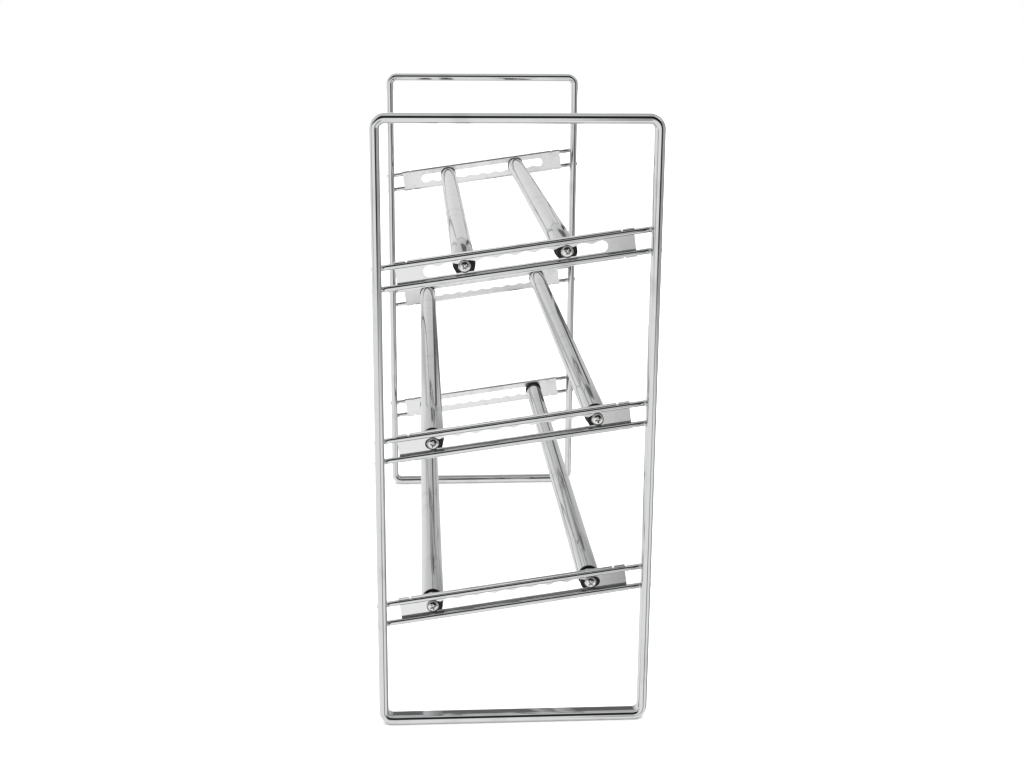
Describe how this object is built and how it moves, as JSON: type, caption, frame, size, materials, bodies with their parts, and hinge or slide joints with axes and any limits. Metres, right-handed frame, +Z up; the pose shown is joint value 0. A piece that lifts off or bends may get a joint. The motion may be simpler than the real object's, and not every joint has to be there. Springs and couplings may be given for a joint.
{
  "type": "expandable shoe rack",
  "caption": "Free-standing chromed steel shoe rack with sloping tiers of telescopic tubes held in slotted end plates; it widens and each tube slides along its slot.",
  "frame": {"origin": "middle of the rack's box, on the floor it stands on", "axes": "+X along the tubes, towards the end frame that moves out; -Y is the low front; +Z up"},
  "size_m": [0.66, 0.2352, 0.5151],
  "materials": {
    "chrome_wire": "bright chrome plate on bent steel tube and drawn wire",
    "chrome_tube": "bright chrome plate on thin-walled welded steel tube",
    "chrome_plate": "chrome plate on stamped sheet steel, slightly softer shine",
    "bright_screw": "bright zinc or nickel plate, pan head with a cross recess",
    "black_plastic": "moulded black plastic, half gloss"
  },
  "bodies": {
    "left_end": {"end_frame_left": "chrome_wire", "cross_wire_low_upper_left": "chrome_wire", "cross_wire_low_lower_left": "chrome_wire", "slot_plate_low_left": "chrome_plate", "cross_wire_middle_upper_left": "chrome_wire", "cross_wire_middle_lower_left": "chrome_wire", "slot_plate_middle_left": "chrome_plate", "cross_wire_top_upper_left": "chrome_wire", "cross_wire_top_lower_left": "chrome_wire", "slot_plate_top_left": "chrome_plate"},
    "right_end": {"end_frame_right": "chrome_wire", "cross_wire_low_upper_right": "chrome_wire", "cross_wire_low_lower_right": "chrome_wire", "slot_plate_low_right": "chrome_plate", "cross_wire_middle_upper_right": "chrome_wire", "cross_wire_middle_lower_right": "chrome_wire", "slot_plate_middle_right": "chrome_plate", "cross_wire_top_upper_right": "chrome_wire", "cross_wire_top_lower_right": "chrome_wire", "slot_plate_top_right": "chrome_plate"},
    "outer_low_front": {"outer_tube_low_front": "chrome_tube", "tube_plug_low_front_left": "black_plastic", "tube_screw_low_front_left": "bright_screw"},
    "inner_low_front": {"inner_tube_low_front": "chrome_tube", "tube_plug_low_front_right": "black_plastic", "tube_screw_low_front_right": "bright_screw"},
    "outer_low_rear": {"outer_tube_low_rear": "chrome_tube", "tube_plug_low_rear_left": "black_plastic", "tube_screw_low_rear_left": "bright_screw"},
    "inner_low_rear": {"inner_tube_low_rear": "chrome_tube", "tube_plug_low_rear_right": "black_plastic", "tube_screw_low_rear_right": "bright_screw"},
    "outer_middle_front": {"outer_tube_middle_front": "chrome_tube", "tube_plug_middle_front_left": "black_plastic", "tube_screw_middle_front_left": "bright_screw"},
    "inner_middle_front": {"inner_tube_middle_front": "chrome_tube", "tube_plug_middle_front_right": "black_plastic", "tube_screw_middle_front_right": "bright_screw"},
    "outer_middle_rear": {"outer_tube_middle_rear": "chrome_tube", "tube_plug_middle_rear_left": "black_plastic", "tube_screw_middle_rear_left": "bright_screw"},
    "inner_middle_rear": {"inner_tube_middle_rear": "chrome_tube", "tube_plug_middle_rear_right": "black_plastic", "tube_screw_middle_rear_right": "bright_screw"},
    "outer_top_front": {"outer_tube_top_front": "chrome_tube", "tube_plug_top_front_left": "black_plastic", "tube_screw_top_front_left": "bright_screw"},
    "inner_top_front": {"inner_tube_top_front": "chrome_tube", "tube_plug_top_front_right": "black_plastic", "tube_screw_top_front_right": "bright_screw"},
    "outer_top_rear": {"outer_tube_top_rear": "chrome_tube", "tube_plug_top_rear_left": "black_plastic", "tube_screw_top_rear_left": "bright_screw"},
    "inner_top_rear": {"inner_tube_top_rear": "chrome_tube", "tube_plug_top_rear_right": "black_plastic", "tube_screw_top_rear_right": "bright_screw"}
  },
  "joints": [
    {"name": "width_extension", "type": "slide", "parent": "left_end", "child": "right_end", "axis": [1, 0, 0], "range_m": [0, 0.45]},
    {"name": "outer_slide_low_front", "type": "slide", "parent": "left_end", "child": "outer_low_front", "axis": [0, 0.99, 0.1409], "range_m": [-0.0028, 0.0577]},
    {"name": "inner_slide_low_front", "type": "slide", "parent": "right_end", "child": "inner_low_front", "axis": [0, 0.99, 0.1409], "range_m": [-0.0028, 0.0577]},
    {"name": "outer_slide_low_rear", "type": "slide", "parent": "left_end", "child": "outer_low_rear", "axis": [0, 0.99, 0.1409], "range_m": [-0.055, 0.0055]},
    {"name": "inner_slide_low_rear", "type": "slide", "parent": "right_end", "child": "inner_low_rear", "axis": [0, 0.99, 0.1409], "range_m": [-0.055, 0.0055]},
    {"name": "outer_slide_middle_front", "type": "slide", "parent": "left_end", "child": "outer_middle_front", "axis": [0, 0.99, 0.1409], "range_m": [-0.0038, 0.0567]},
    {"name": "inner_slide_middle_front", "type": "slide", "parent": "right_end", "child": "inner_middle_front", "axis": [0, 0.99, 0.1409], "range_m": [-0.0038, 0.0567]},
    {"name": "outer_slide_middle_rear", "type": "slide", "parent": "left_end", "child": "outer_middle_rear", "axis": [0, 0.99, 0.1409], "range_m": [-0.0579, 0.0026]},
    {"name": "inner_slide_middle_rear", "type": "slide", "parent": "right_end", "child": "inner_middle_rear", "axis": [0, 0.99, 0.1409], "range_m": [-0.0579, 0.0026]},
    {"name": "outer_slide_top_front", "type": "slide", "parent": "left_end", "child": "outer_top_front", "axis": [0, 0.99, 0.1409], "range_m": [-0.0305, 0.03]},
    {"name": "inner_slide_top_front", "type": "slide", "parent": "right_end", "child": "inner_top_front", "axis": [0, 0.99, 0.1409], "range_m": [-0.0305, 0.03]},
    {"name": "outer_slide_top_rear", "type": "slide", "parent": "left_end", "child": "outer_top_rear", "axis": [0, 0.99, 0.1409], "range_m": [-0.03, 0.0305]},
    {"name": "inner_slide_top_rear", "type": "slide", "parent": "right_end", "child": "inner_top_rear", "axis": [0, 0.99, 0.1409], "range_m": [-0.03, 0.0305]}
  ],
  "couplings": [
    {"joint": "inner_slide_low_front", "follows": "outer_slide_low_front", "ratio": 1},
    {"joint": "inner_slide_low_rear", "follows": "outer_slide_low_rear", "ratio": 1},
    {"joint": "inner_slide_middle_front", "follows": "outer_slide_middle_front", "ratio": 1},
    {"joint": "inner_slide_middle_rear", "follows": "outer_slide_middle_rear", "ratio": 1},
    {"joint": "inner_slide_top_front", "follows": "outer_slide_top_front", "ratio": 1},
    {"joint": "inner_slide_top_rear", "follows": "outer_slide_top_rear", "ratio": 1}
  ]
}
